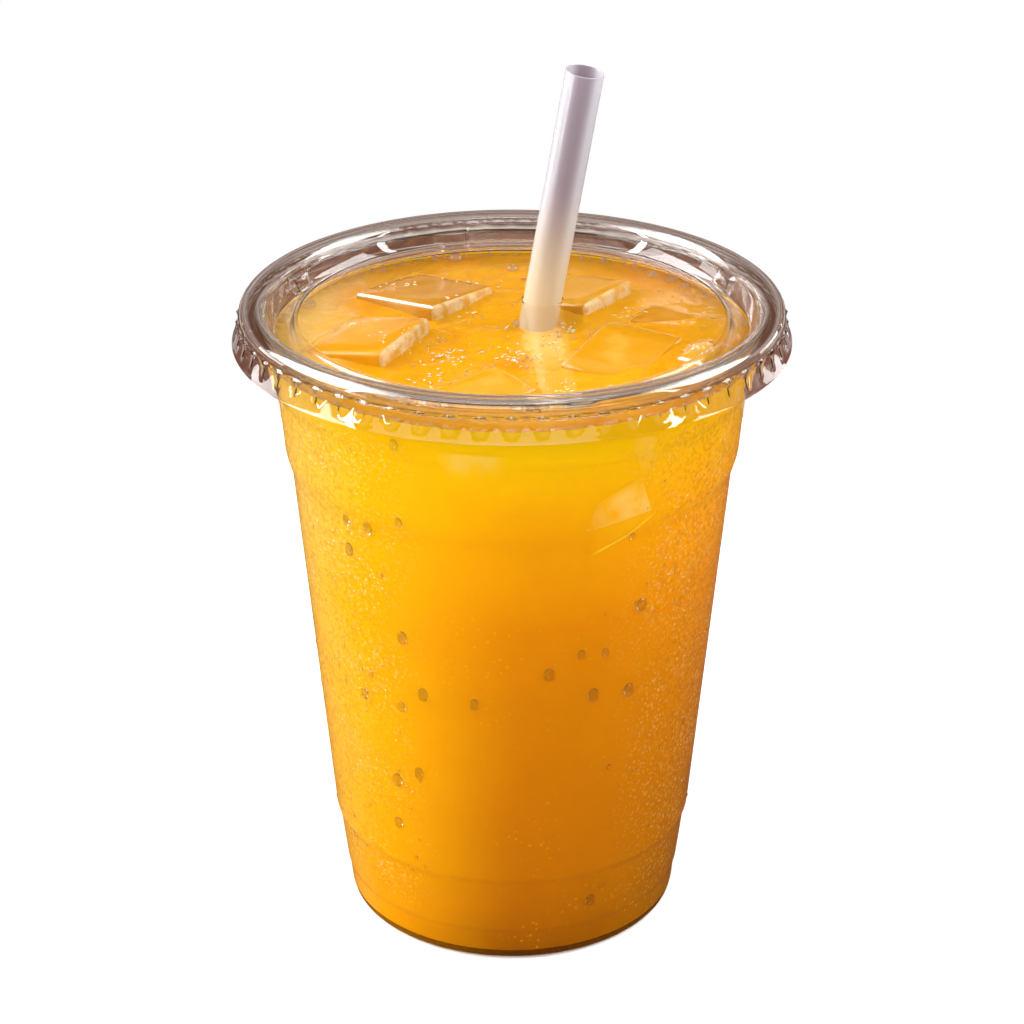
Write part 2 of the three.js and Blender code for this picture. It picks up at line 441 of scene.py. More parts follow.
cupOutside = rounded(cupCorners)
cupInside = offsetLine(cupOutside, cupValues["wall"])
cupInside = [point for point in cupInside if point[1] > cupValues["floorTop"]]


def makeCup():      # the sheet curls over at the rim and stays hollow
    centre, end = cupValues["rimCentre"], cupValues["rimEnd"]
    within = cupValues["rimRoll"] - cupValues["rimSheet"]
    roll = arcPoints(centre, within, 180, end, 18) + arcPoints(centre, cupValues["rimRoll"], end, 180, 22)
    height = cupValues["floorTop"]
    floor = [(cupInside[0][0] - cupValues["floorRounding"], height), (0, height)]
    outline = cupValues["base"] + cupOutside + roll + cupInside[::-1] + floor
    cup = spinOutline("cupShell", outline, cupValues["steps"])
    smooth(cup)
    return cup


def makeCupPlastic():
    material, nodes, link, shader = newMaterial(
        "clearCup", Base_Color=cupValues["plastic"], Transmission_Weight=1.0, IOR=1.45, Roughness=0.03)
    place, x, y, z = places3(nodes, link)
    addBump(nodes, link, misted(nodes, link, x, y, z), 1.0, mistValues["bump"])
    return material


def atFlanks(nodes, link, x, left, right):
    return sums(nodes, link, "MAXIMUM", fade(nodes, link, x, *left), fade(nodes, link, x, *right))


def alongWall(nodes, link, z):      # from above the foot to the juice's level
    foot = fade(nodes, link, z, *mistValues["foot"])
    return times(nodes, link, foot, fade(nodes, link, z, *mistValues["level"]))


def misted(nodes, link, x, y, z):       # mist on the flanks and the back, none at the front
    flank = atFlanks(nodes, link, x, mistValues["left"], mistValues["right"])
    flank = times(nodes, link, flank, fade(nodes, link, y, *mistValues["front"]))
    back = times(nodes, link, fade(nodes, link, y, *mistValues["back"]), mistValues["backShare"])
    cover = times(nodes, link, sums(nodes, link, "MAXIMUM", flank, back), alongWall(nodes, link, z))
    mist = nodes.new("ShaderNodeGroup")
    mist.node_tree = coldMist
    link(cover, mist.inputs["Cover"])
    return mist.outputs["Height"]


print("cup")
cup = finishPiece(makeCup(), makeCupPlastic(), ["cup"])


# Lid

lidValues = {
    "wall": 0.4,
    "beadRadius": 2.32,
    "pleats": 60,
    "columnsPerPleat": 6,
    "pleatDepth": 0.6,
    "pleatTop": 119.3,
    "pleatTip": 116.3,
    "lugAngles": [-165, -115, -65, 15, 65, 115],
    "lugHalfWidth": 3.1,
    "lugDepth": 1.0,
    "frontLugDepth": 0.3,       # it hardly shows in the photo
    "lugRows": (117.5, 120.2),
    "lugBand": (43.0, 45.6),
    "lugRadius": 44.6,
    "skirtFrom": 49.3,
    "skirtTop": 120.2,
    "panelRadius": 39.2,
    "strawGap": 0.3,
    "clearDepth": 6.5,      # light that is caught between the thin walls is let out after this many
    "plastic": (0.97, 0.955, 0.945, 1),
    "panel": (0.985, 0.985, 0.985, 1),
}

# radius, height and rounding along the middle of the sheet, in mm
panelCorners = [
    (0, 119.7, 0), (6, 119.7, 0), (12, 119.7, 0), (20, 119.7, 0), (30, 119.7, 0), (36, 119.7, 0),
    (39.95, 119.7, 0.7), (40.9, 117.1, 0.7), (43.85, 117.1, 0.8), (44.6, 118.6, 0), (45.1, 119.9, 0),
]
skirtPoints = [
    (49.6, 118.95), (49.85, 118.3), (50.15, 117.7), (50.45, 117.1), (50.7, 116.6), (50.9, 116.2),
    (51.1, 115.75), (51.28, 115.45),
]


def frontAngle(point):      # degrees from the front (-Y), positive to the right
    return math.degrees(math.atan2(point.x, -point.y))


def angleApart(first, second):
    return abs((first - second + 180) % 360 - 180)


def makeLid():
    bead = arcPoints(cupValues["rimCentre"], lidValues["beadRadius"], 180, -24, 22)
    outline = rounded(panelCorners) + bead + skirtPoints
    lid = spinOutline("lidShell", outline, lidValues["pleats"] * lidValues["columnsPerPleat"])
    pressPleats(lid)
    pressLugs(lid)
    addModifier(lid, "SOLIDIFY", thickness=lidValues["wall"] * mm, offset=0, use_even_offset=True)
    return lid


def onSkirt(point):
    outside = fromAxis(point) > lidValues["skirtFrom"] * mm
    return outside and point.z < lidValues["skirtTop"] * mm


def pressPleats(lid):       # each pleat stands proud at the top and runs out in a point
    rows = sorted({round(vertex.co.z, 6) for vertex in lid.data.vertices if onSkirt(vertex.co)})
    pitch = 360 / lidValues["pleats"]
    for row in rows:
        down = (lidValues["pleatTop"] - row / mm) / (lidValues["pleatTop"] - lidValues["pleatTip"])
        if down > 1.02:
            continue
        proud = lidValues["pleatDepth"] * (1 - max(down, 0) ** 2) * min(1, max(0, 1.5 + 2 * down))
        halfWidth = pitch * 0.36 * (1 - max(down, 0))
        for column in range(3):
            offset = pitch * column / lidValues["columnsPerPleat"]
            share = 1 - offset / (halfWidth + 0.6)
            if share <= 0 or proud <= 0:
                continue

            def onPleat(point, row=row, offset=offset):
                away = abs((frontAngle(point) + pitch / 2) % pitch - pitch / 2)
                return onSkirt(point) and abs(point.z - row) < 2e-6 and abs(away - offset) < 0.2

            if selectPoints(lid, onPleat):
                grow = 1 + proud * share * mm / lidRadius
                bpy.ops.transform.resize(value=(grow, grow, 1), center_override=(0, 0, 0))
            leaveEdit()


def pressLugs(lid):
    inner, outer = lidValues["lugBand"]
    low, high = lidValues["lugRows"]
    for lug in lidValues["lugAngles"]:

        def onLug(point, lug=lug):
            if not (inner < fromAxis(point) / mm < outer and low < point.z / mm < high):
                return False
            return angleApart(frontAngle(point), lug) < lidValues["lugHalfWidth"]

        selectPoints(lid, onLug)
        depth = lidValues["frontLugDepth"] if abs(lug) < 30 else lidValues["lugDepth"]
        shrink = 1 - depth / lidValues["lugRadius"]
        bpy.ops.transform.resize(value=(shrink, shrink, 1), center_override=(0, 0, 0))
        leaveEdit()


# Straw, whose place the lid's hole needs too

strawValues = {
    "foot": Vector((-13.55, 12.55, 4.6)) * mm,
    "top": Vector((13.05, 4.5, 164.1)) * mm,
    "radius": 3.55 * mm,
    "wall": 0.25 * mm,
    "sides": 48,
    "bevel": 0.06 * mm,
    # the darker middle and lighter edges are painted: light seen through the thin walls shows at the edges
    "middle": (0.44, 0.36, 0.42, 1),
    "edge": (0.78, 0.76, 0.82, 1),
    "wet": (0.95, 0.79, 0.54, 1),
}


def strawRod(name, radius, reach, fill="NGON"):
    foot, top = strawValues["foot"], strawValues["top"]
    along = top - foot
    turn = Vector((0, 0, 1)).rotation_difference(along).to_euler()
    deselectAll()
    bpy.ops.mesh.primitive_cylinder_add(
        vertices=strawValues["sides"], radius=radius, depth=along.length + 2 * reach, end_fill_type=fill,
        location=(foot + top) / 2, rotation=turn)
    rod = bpy.context.active_object
    rod.name = name
    settle(rod)
    return rod


def makeLidPlastic():
    material, nodes, link, shader = newMaterial(
        "clearLid", Base_Color=lidValues["plastic"], Transmission_Weight=1.0, IOR=1.45)
    addSkin(nodes, link, 140, 0.02, 0.05, 0.06)
    depth = nodes.new("ShaderNodeLightPath").outputs["Ray Depth"]
    link(sums(nodes, link, "LESS_THAN", depth, lidValues["clearDepth"]), shader.inputs["Alpha"])
    return material


print("lid")
lid = makeLid()
cutAway(lid, strawRod("strawHole", strawValues["radius"] + lidValues["strawGap"] * mm, 0))
smooth(lid, 30)
clearPanel = newMaterial(       # the flat middle, thin and hardly seen
    "clearPanel", Base_Color=lidValues["panel"], Transmission_Weight=1.0, IOR=1.12,
    Specular_IOR_Level=0.3, Roughness=0.0)[0]
finishPiece(lid, [makeLidPlastic(), clearPanel], ["lid"])
for face in lid.data.polygons:
    onPanel = fromAxis(face.center) < lidValues["panelRadius"] * mm
    face.material_index = 1 if onPanel else 0


def makeStraw():
    straw = strawRod("strawTube", strawValues["radius"], 0, "NOTHING")
    enterEdit(straw)
    bpy.ops.mesh.subdivide(number_cuts=1)
    leaveEdit()
    addModifier(straw, "SOLIDIFY", thickness=strawValues["wall"], offset=-1)
    addModifier(straw, "BEVEL", width=strawValues["bevel"], segments=2, limit_method="ANGLE")
    smooth(straw, 40)
    return straw


def makeStrawPlastic():
    material, nodes, link, shader = newMaterial(
        "milkyStraw", Transmission_Weight=0.5, IOR=1.49, Roughness=0.25)
    place, x, y, z = places3(nodes, link)
    # lighter rims and a darker middle painted by facing, for light seen through the thin walls
    layer = nodes.new("ShaderNodeLayerWeight")
    layer.inputs["Blend"].default_value = 0.5
    paintedRimLight = fade(nodes, link, layer.outputs["Facing"], 0.0, 0.3)
    plain = mixColours(nodes, link, paintedRimLight, strawValues["middle"], strawValues["edge"])
    colour = mixColours(nodes, link, fade(nodes, link, z, 0.118, 0.145), strawValues["wet"], plain)
    link(colour, shader.inputs["Base Color"])
    return material


print("straw")
straw = finishPiece(makeStraw(), makeStrawPlastic(), ["straw"])


# Ice at the surface: centre of the top face, length, breadth, turn and tilts in mm and degrees, the
# colour that shows through, and the sides (in the cube's own directions) that are frosted or painted with a
# glint

iceValues = {
    "depth": 17.0,
    "rounding": 1.1,
    "wander": 0.5,
    "frostLight": (0.70, 0.50, 0.24, 1),
    "frostDark": (0.63, 0.31, 0.03, 1),
    "frostFoot": (0.1138, 0.1155),      # heights in metres over which the frost sets in
    # painted highlight colour for the edges that glint
    "glint": (0.85, 0.80, 0.70, 1),
    "cubes": {
        "ice_left": {"at": (-26.5, -4.0, 117.1), "size": (20, 16), "turn": 65, "tilt": (0, -8),
                     "juicy": (0.67, 0.275, 0.001, 1), "frost": (0, -1), "line": (0, 1)},
        "ice_back_left": {"at": (-16.7, 19.6, 116.9), "size": (18.5, 19.5), "turn": 52, "tilt": (4, -5),
                          "juicy": (0.50, 0.205, 0.010, 1), "frost": (0, -1), "glint": (-1, 0)},
        "ice_back_right": {"at": (12.5, 19.4, 116.9), "size": (17, 14), "turn": 56, "tilt": (0, -8),
                           "juicy": (0.58, 0.255, 0.005, 1), "frost": (0, -1)},
        "ice_front_right": {"at": (20.0, -10.5, 116.5), "size": (22, 15), "turn": 65, "tilt": (-3, 5),
                            "juicy": (0.62, 0.265, 0.001, 1), "line": (0, 1)},
        "ice_right": {"at": (29.0, 6.8, 115.8), "size": (12, 9.6), "turn": -30, "tilt": (4, 3),
                      "juicy": (0.54, 0.215, 0.002, 1), "glint": (1, 0)},
        "ice_right_edge": {"at": (34.4, -10.4, 116.2), "size": (12, 5.6), "turn": 65, "tilt": (5, 4),
                           "juicy": (0.64, 0.30, 0.012, 1), "frost": (1, 0), "glint": (-1, 0)},
        "ice_front": {"at": (-4.0, -27.0, 116.0), "size": (13, 12), "turn": 42, "tilt": (-5, 3),
                      "juicy": (0.66, 0.29, 0.002, 1), "glint": (0, 1)},
    },
}


def cloudTexture(name, size, depth=2):
    texture = bpy.data.textures.new(name, "CLOUDS")
    texture.noise_scale = size
    texture.noise_depth = depth
    return texture


iceClouds = cloudTexture("iceClouds", 0.011)


def makeIceCube(name, cube, grow=0.0):
    deselectAll()
    depth = iceValues["depth"]
    bpy.ops.mesh.primitive_cube_add(size=1, location=(0, 0, -depth / 2 * mm))
    block = bpy.context.active_object
    block.name = name
    block.scale = ((cube["size"][0] + grow) * mm, (cube["size"][1] + grow) * mm, (depth + grow) * mm)
    settle(block)
    enterEdit(block)
    bpy.ops.mesh.bevel(offset=iceValues["rounding"] * mm, segments=3)
    bpy.ops.mesh.select_all(action="SELECT")
    bpy.ops.mesh.subdivide(number_cuts=4)
    leaveEdit()
    sides = [sideOf(face.normal, cube) for face in block.data.polygons]
    tilt = cube["tilt"]
    block.rotation_euler = (math.radians(tilt[1]), math.radians(tilt[0]), math.radians(cube["turn"]))
    block.location = Vector(cube["at"]) * mm
    settle(block)
    wander = iceValues["wander"] * mm
    addModifier(block, "DISPLACE", texture=iceClouds, texture_coords="LOCAL", strength=wander)
    smooth(block, 50)
    return block, sides


def sideOf(normal, cube):       # 0 is clear, 1 frosted and 2 an edge painted with a glint
    def facing(label):
        across, along = cube.get(label, (0, 0))
        return normal.x * across + normal.y * along

    if facing("glint") > 0.3 and normal.z > 0.4 or facing("line") > 0.3 and 0.6 < normal.z < 0.95:
        return 2
    return 1 if facing("frost") > 0.6 and normal.z > -0.5 else 0


def makeIceMaterial(name, juicy):      # wet ice with the juice showing through it
    material, nodes, link, shader = newMaterial(name, IOR=1.31, Coat_Weight=0.25, Coat_Roughness=0.03)
    addSkin(nodes, link, 160, 0.05, 0.16, 0.4, 0.0006)
    place, x, y, z = places3(nodes, link)
    streaks = fade(nodes, link, noiseAt(nodes, link, place, 130, 6), 0.5, 0.75)
    paler = (min(juicy[0] * 1.08, 1), juicy[1] * 1.3, juicy[2] + 0.03, 1)
    link(mixColours(nodes, link, streaks, juicy, paler), shader.inputs["Base Color"])
    return material


def makeFrostMaterial():    # a broken side, white with trapped air
    material, nodes, link, shader = newMaterial("frostedIce", IOR=1.31, Coat_Weight=0.5)
    addSkin(nodes, link, 900, 0.2, 0.5, 0.6)
    place, x, y, z = places3(nodes, link)
    speckle = fade(nodes, link, noiseAt(nodes, link, place, 420, 5), 0.38, 0.6)
    frost = mixColours(nodes, link, speckle, iceValues["frostDark"], iceValues["frostLight"])
    above = fade(nodes, link, z, *iceValues["frostFoot"])
    link(mixColours(nodes, link, above, iceValues["frostDark"], frost), shader.inputs["Base Color"])
    return material


print("ice")
frostMaterial = makeFrostMaterial()
paintedGlintMaterial = newMaterial(        # painted glint: a light colour on the edges in place of their highlights
    "paintedIceGlint", Base_Color=iceValues["glint"], Roughness=0.08, IOR=1.31, Coat_Weight=0.8)[0]
for name, cube in iceValues["cubes"].items():
    block, sides = makeIceCube(name + "_block", cube)
    juicyIce = makeIceMaterial("juicyIce_" + name, cube["juicy"])
    finishPiece(block, [juicyIce, frostMaterial, paintedGlintMaterial], [name])
    block.data.polygons.foreach_set("material_index", sides)


# Juice

juiceValues = {
    "intoWall": 0.2,
    "bottom": 1.8,
    "steps": 180,
    "meniscus": 0.7,
    "meniscusWidth": 0.9,
    "ripple": 0.9,
    "rings": 34,
    "ringSpread": 1.4,      # over 1 sets the rings closer at the wall
    "clingWidth": 1.8,
    "clingHeight": 1.05,
    # (height in mm, red, green) up the wall, at the middle and towards either side, painted darker towards
    # the bottom and the right where shade falls and lighter on the left where the light falls
    "middle": [(0, 0.32, 0.09), (4, 0.35, 0.10), (11, 0.46, 0.135), (20, 0.52, 0.163),
               (39, 0.60, 0.192), (58, 0.66, 0.226), (73, 0.75, 0.262), (92, 0.90, 0.395),
               (103, 0.97, 0.53), (112, 1.0, 0.62)],
    "litLeftSide": [(0, 0.88, 0.36), (4, 0.88, 0.36), (11, 0.88, 0.38), (20, 0.88, 0.41),
                 (39, 0.90, 0.43), (58, 0.91, 0.45), (73, 0.91, 0.46), (92, 0.92, 0.48),
                 (103, 0.95, 0.52), (112, 0.99, 0.59)],
    "shadedRightSide": [(0, 0.42, 0.15), (11, 0.41, 0.14), (20, 0.48, 0.16), (39, 0.58, 0.195), (58, 0.68, 0.24),
                  (73, 0.79, 0.285), (92, 0.93, 0.38), (112, 0.99, 0.55)],
    "blue": 0.001,
    "litLeftMistHaze": (0.90, 0.57, 0.10, 1),
    "paintedStrawReflection": (0.86, 0.54, 0.17, 1),
    # painted highlights and painted shade of the drops of mist
    "mistHighlightPaint": (1.0, 0.76, 0.20, 1),
    "mistShadePaint": (0.70, 0.62, 0.60, 1),
    "mistShade": 0.5,
    "mistShine": 0.42,
    "pulp": (0.98, 0.62, 0.03, 1),
    # strength of a weak painted glow over the juice's colour
    "glow": 0.10,
    "surfaceFront": (0.66, 0.29, 0.001, 1),
    "surfaceBack": (0.57, 0.245, 0.004, 1),
    "surfaceDeep": (0.60, 0.22, 0.001, 1),
    "surfacePale": (0.74, 0.45, 0.10, 1),
    "surfacePulp": (0.84, 0.52, 0.12, 1),
    "imageLean": 0.077,         # the painted reflection of the straw, in metres
    "imageMiddle": 0.0056,
    "imageWidth": (0.0038, 0.0030),
    "imageBack": (0.007, 0.005),
    "imageFront": (-0.017, -0.004),
    "imageWobble": 0.004,
    "imageShare": 0.35,
    "wallBand": 0.25 * mm,
    "topBand": 0.6 * mm,
}


def makeJuice():
    wall = offsetLine(cupInside, -juiceValues["intoWall"])
    level = juiceLevel / mm
    wall = [point for point in wall if point[1] < level - 1]
    last, before = wall[-1], wall[-2]
    slope = (last[0] - before[0]) / (last[1] - before[1])
    edge = last[0] + slope * (level - last[1])
    top = []
    for k in range(juiceValues["rings"] + 1):
        radius = edge * (1 - (k / juiceValues["rings"]) ** juiceValues["ringSpread"])
        rise = juiceValues["meniscus"] * math.exp((radius - edge) / juiceValues["meniscusWidth"])
        top.append((radius, level + rise))
    bottom = juiceValues["bottom"]
    outline = [(0, bottom), (wall[0][0] - cupValues["floorRounding"], bottom)] + wall + top
    outline[-1] = (0, outline[-1][1])
    juice = spinOutline("juiceBody", outline, juiceValues["steps"])
    refineTop(juice)
    rippleTop(juice)
    cutters = []
    for name, cube in iceValues["cubes"].items():
        cutters.append(makeIceCube(name + "_pocket", cube, grow=-0.3)[0])
    cutters.append(strawPocket())
    cutAway(juice, joinPieces(cutters))
    smooth(juice, 40)
    return juice


def onSurface(point):
    return point.z > juiceLevel - 0.3 * mm


def refineTop(juice):       # the surface needs finer faces than the sides
    selectPoints(juice, lambda point: onSurface(point) and fromAxis(point) > 6 * mm)
    bpy.ops.mesh.subdivide(number_cuts=1)
    leaveEdit()


def gapToIce(point):        # distance outside the nearest cube's outline, in mm
    nearest = 99.0
    for cube in iceValues["cubes"].values():
        turn = math.radians(cube["turn"])
        away = Vector((point.x / mm - cube["at"][0], point.y / mm - cube["at"][1]))
        along = abs(away.x * math.cos(turn) + away.y * math.sin(turn)) - cube["size"][0] / 2
        across = abs(away.y * math.cos(turn) - away.x * math.sin(turn)) - cube["size"][1] / 2
        nearest = min(nearest, math.hypot(max(along, 0), max(across, 0)))
    return nearest


def rippleTop(juice):       # soft waves, and juice that clings to the ice and the straw
    waves = juice.vertex_groups.new(name="waves")
    cling = juice.vertex_groups.new(name="cling")
    edge = max(fromAxis(v.co) for v in juice.data.vertices)
    for vertex in juice.data.vertices:
        if not onSurface(vertex.co):
            continue
        fadeOut = min(1.0, (edge - fromAxis(vertex.co)) / (3 * mm))
        waves.add([vertex.index], max(fadeOut, 0.0), "REPLACE")
        gap = gapToIce(vertex.co) / juiceValues["clingWidth"]
        if gap < 3 and fadeOut > 0:
            cling.add([vertex.index], math.exp(-gap * 1.5) * fadeOut, "REPLACE")
    addModifier(juice, "DISPLACE", texture=cloudTexture("juiceRipples", 0.009, 1), texture_coords="LOCAL",
                vertex_group="waves", direction="Z", strength=juiceValues["ripple"] * mm)
    addModifier(juice, "DISPLACE", vertex_group="cling", direction="Z", mid_level=0,
                strength=juiceValues["clingHeight"] * mm)


def strawPocket():      # a sleeve, so that juice also stands inside the straw
    radius, bite = strawValues["radius"], 0.06 * mm
    pocket = strawRod("strawPocket", radius - bite, 0.1 * mm)
    cutAway(pocket, strawRod("strawCore", radius - strawValues["wall"] + bite, 0.2 * mm))
    return pocket


def addPulp(nodes, link, place, colour, paler):     # tiny light specks of pulp
    speck = fade(nodes, link, cellsAt(nodes, link, place, 620), 0.24, 0.08)
    patch = fade(nodes, link, noiseAt(nodes, link, place, 60), 0.45, 0.7)
    return mixColours(nodes, link, times(nodes, link, speck, patch, 0.3), colour, paler)


def juiceRamp(nodes, link, height, side):
    stops = [(at, (red, green, juiceValues["blue"])) for at, red, green in juiceValues[side]]
    return heightRamp(nodes, link, height, stops)


def makeJuiceColourAndShade():        # the colour seen through the wall, with painted shade and light, which the sunk ice melts into
    group, enter, leave = newGroup("juiceColourAndShade", {}, {"Color": "Color"})
    nodes, link = group.nodes, group.links.new
    place, x, y, z = places3(nodes, link)
    clouds = noiseAt(nodes, link, place, 26, 4)
    height = sums(nodes, link, "MULTIPLY_ADD", clouds, 0.022, z)
    height = sums(nodes, link, "SUBTRACT", height, 0.011)
    drift = sums(nodes, link, "MULTIPLY_ADD", clouds, 0.016, x)
    # the ramps paint the shade, darker low down and on the right, and the light on the left
    middle = juiceRamp(nodes, link, height, "middle")
    left = juiceRamp(nodes, link, height, "litLeftSide")
    right = juiceRamp(nodes, link, height, "shadedRightSide")
    colour = mixColours(nodes, link, fade(nodes, link, drift, 0.012, -0.024), middle, left)
    colour = mixColours(nodes, link, fade(nodes, link, drift, 0.012, 0.044), colour, right)
    # a pale haze on the far left: the mist, painted lighter where the light falls on that side
    haze = times(nodes, link, fade(nodes, link, drift, -0.016, -0.036), 0.9)
    colour = mixColours(nodes, link, haze, colour, juiceValues["litLeftMistHaze"])
    colour = addPulp(nodes, link, place, colour, juiceValues["pulp"])
    colour = addPaintedMistShades(nodes, link, place, x, y, z, colour)
    link(colour, leave.inputs["Color"])
    return group


def addPaintedMistShades(nodes, link, place, x, y, z, colour):      # painted shade and painted highlights of the drops of mist
    shade = nodes.new("ShaderNodeSeparateColor")
    link(cellsAt(nodes, link, place, 1500, "Color"), shade.inputs["Color"])
    dark = fade(nodes, link, shade.outputs["Red"], 0.55, 0.8)
    flank = atFlanks(nodes, link, x, (-0.018, -0.034), (0.020, 0.036))
    dark = times(nodes, link, dark, flank, alongWall(nodes, link, z), juiceValues["mistShade"])
    darker = mixColours(nodes, link, dark, colour, juiceValues["mistShadePaint"], "MULTIPLY")
    specks = times(nodes, link, misted(nodes, link, x, y, z), juiceValues["mistShine"])
    return mixColours(nodes, link, specks, darker, juiceValues["mistHighlightPaint"])


juiceColourAndShade = makeJuiceColourAndShade()


def glowingMaterial(name):      # takes the juice's colour and painted shade, and adds a weak painted glow that lifts its shaded parts
    material, nodes, link, shader = newMaterial(
        name, Roughness=0.5, Specular_IOR_Level=0.0, Emission_Strength=juiceValues["glow"])
    material.cycles.emission_sampling = "NONE"      # too weak to be treated as a light
    look = nodes.new("ShaderNodeGroup")
    look.node_tree = juiceColourAndShade
    showColour(link, shader, look.outputs["Color"])
    return material, nodes, link, shader, look


def showColour(link, shader, colour):
    link(colour, shader.inputs["Base Color"])
    link(colour, shader.inputs["Emission Color"])


def makeJuiceSurface():
    material, nodes, link, shader = newMaterial("juiceSurface", IOR=1.34, Specular_IOR_Level=0.22)
    addSkin(nodes, link, 200, 0.03, 0.10, 0.9, 0.0008)
    place, x, y, z = places3(nodes, link)
    back = fade(nodes, link, y, -0.005, 0.040)
    colour = mixColours(nodes, link, back, juiceValues["surfaceFront"], juiceValues["surfaceBack"])
    deep = fade(nodes, link, noiseAt(nodes, link, place, 55, 4), 0.48, 0.68)
    colour = mixColours(nodes, link, deep, colour, juiceValues["surfaceDeep"])
    pale = times(nodes, link, fade(nodes, link, x, -0.026, -0.040), 0.8)
    colour = mixColours(nodes, link, pale, colour, juiceValues["surfacePale"])
    colour = addPulp(nodes, link, place, colour, juiceValues["surfacePulp"])
    # a pale streak painted where the straw's reflection falls
    image = paintedStrawReflection(nodes, link, place, x, y)
    colour = mixColours(nodes, link, image, colour, juiceValues["paintedStrawReflection"])
    link(colour, shader.inputs["Base Color"])
    return material


def paintedStrawReflection(nodes, link, place, x, y):       # a painted reflection of the straw in the juice, broken by the ripples
    wobble = juiceValues["imageWobble"]
    wobble = sums(nodes, link, "MULTIPLY_ADD", noiseAt(nodes, link, place, 330, 3), wobble, -wobble / 2)
    across = sums(nodes, link, "ADD", x, wobble)
    across = sums(nodes, link, "MULTIPLY_ADD", y, juiceValues["imageLean"], across)
    across = sums(nodes, link, "SUBTRACT", across, juiceValues["imageMiddle"])
    across = sums(nodes, link, "ABSOLUTE", across)
    within = fade(nodes, link, across, *juiceValues["imageWidth"])
    back = fade(nodes, link, y, *juiceValues["imageBack"])
    front = fade(nodes, link, y, *juiceValues["imageFront"])
    return times(nodes, link, within, back, front, juiceValues["imageShare"])


def makeJuicePiece():
    juice = makeJuice()
    finishPiece(juice, [glowingMaterial("juiceBehindWall")[0], makeJuiceSurface()], ["juice"])
    edge = max(fromAxis(v.co) for v in juice.data.vertices)
    for face in juice.data.polygons:
        atWall = fromAxis(face.center) > edge - juiceValues["wallBand"]
        face.material_index = 1 if face.center.z > juiceLevel - juiceValues["topBand"] and not atWall else 0


print("juice")
makeJuicePiece()


# Ice sunk in the juice that touches the wall, as patches just inside the plastic

sunkValues = {
    "skinIn": 0.45,
    "skinOut": 0.3,
    "rows": [86, 90.8, 94.4, 98, 103, 107.2, 108.8, 112.5],
    # each facet's corners (across, height), its colour and how much of it shows, and the straight fades
    # (a, b, low, high) of a * across + b * height that let it melt into the juice
    "facets": [
        {"corners": [(15.2, 100.0), (22.5, 103.4), (24.5, 95.9), (13.0, 94.4)], "share": 0.9,
         "colour": (0.97, 0.60, 0.11, 1),
         "fades": [(0.83, 0.55, 62.0, 71.0), (0.422, -0.907, -84.5, -82.3)]},
        {"corners": [(12.6, 94.2), (24.5, 95.7), (25.2, 94.9), (13.8, 88.9)], "share": 0.5,
         "colour": (0.95, 0.50, 0.004, 1), "fades": [(1, 0, 12.5, 20), (0, -1, -96.5, -94.5)]},
        {"corners": [(13.4, 88.9), (13.8, 88.5), (17.6, 90.2), (20.4, 91.4), (25.5, 94.9), (25.2, 95.2),
                     (20.2, 91.8), (17.3, 90.5)], "share": 0.9,
         "colour": (0.99, 0.66, 0.03, 1), "fades": []},
        {"corners": [(12.8, 94.25), (13.0, 94.5), (24.6, 96.0), (24.6, 95.75)], "share": 0.6,
         "colour": (0.99, 0.66, 0.12, 1), "fades": []},
        {"corners": [(-14.0, 110.8), (-0.5, 110.4), (-1.0, 104.6), (-10.6, 104.9)], "share": 0.75,
         "colour": (0.98, 0.64, 0.10, 1),
         "fades": [(1, 0, -14, -9), (-1, 0, 0.6, 4.5), (0, 1, 105, 108.5), (0, -1, -110.8, -110)]},
        {"corners": [(20.5, 112.0), (25.5, 111.0), (24.8, 103.2), (22.9, 102.6)], "share": 0.45,
         "colour": (0.98, 0.62, 0.10, 1),
         "fades": [(0, 1, 102.6, 108), (1, 0, 20.5, 22.5), (-1, 0, -25.3, -24)]},
    ],
}


def makeSunkFacet(name, corners):
    outer, inner = [], []
    for height in sunkValues["rows"]:
        radius = lineRadius(cupInside, height)
        outer.append((radius + sunkValues["skinOut"], height))
        inner.insert(0, (radius - sunkValues["skinIn"], height))
    band = spinOutline(name, outer + inner + [outer[0]], cupValues["steps"])
    cutAway(band, outlinePrism(name + "_cutter", corners, -60, -20), "INTERSECT")
    smooth(band, 40)
    return band


def makeSunkMaterial(name, facet):
    material, nodes, link, shader, look = glowingMaterial(name)
    place, x, y, z = places3(nodes, link)
    mottle = fade(nodes, link, noiseAt(nodes, link, place, 230, 6), 0.28, 0.62)
    shown = times(nodes, link, mottle, facet["share"])
    for a, b, low, high in facet["fades"]:
        along = sums(nodes, link, "MULTIPLY_ADD", x, a, times(nodes, link, z, b))
        shown = times(nodes, link, shown, fade(nodes, link, along, low * mm, high * mm))
    showColour(link, shader, mixColours(nodes, link, shown, look.outputs["Color"], facet["colour"]))
    return material


print("sunk ice")
for count, facet in enumerate(sunkValues["facets"]):
    name = "sunkIce_%d" % count
    finishPiece(makeSunkFacet(name, facet["corners"]), makeSunkMaterial(name + "_look", facet))


# Bubbles on the juice

bubbleValues = {
    "wallGap": 0.55,
    "ringGap": (1.3, 3.2),
    "ringSize": (0.35, 0.8),
    "big": [((-11.1, 41.2), 1.5), ((-38.6, 15.8), 1.6), ((27.4, 31.9), 1.2), ((30.6, 29.5), 1.0),
            ((33.4, 27.0), 0.9), ((1.0, 6.8), 0.9), ((0.1, 36.0), 1.1), ((36.8, 20.5), 0.9)],
    # centre, spread and count
    "clusters": [((-13, -1), 4.5, 16), ((-6, -20), 5, 16), ((10.5, 1), 3, 14), ((1.5, -13), 5, 16),
                 ((32, 22), 5, 14), ((-12, 10), 6, 10), ((-30, -14), 5, 8), ((6, 32), 7, 8),
                 ((0, -2), 30, 40)],
    "clusterSize": (0.14, 0.36),
    "tint": (1.0, 0.84, 0.52, 1),
}


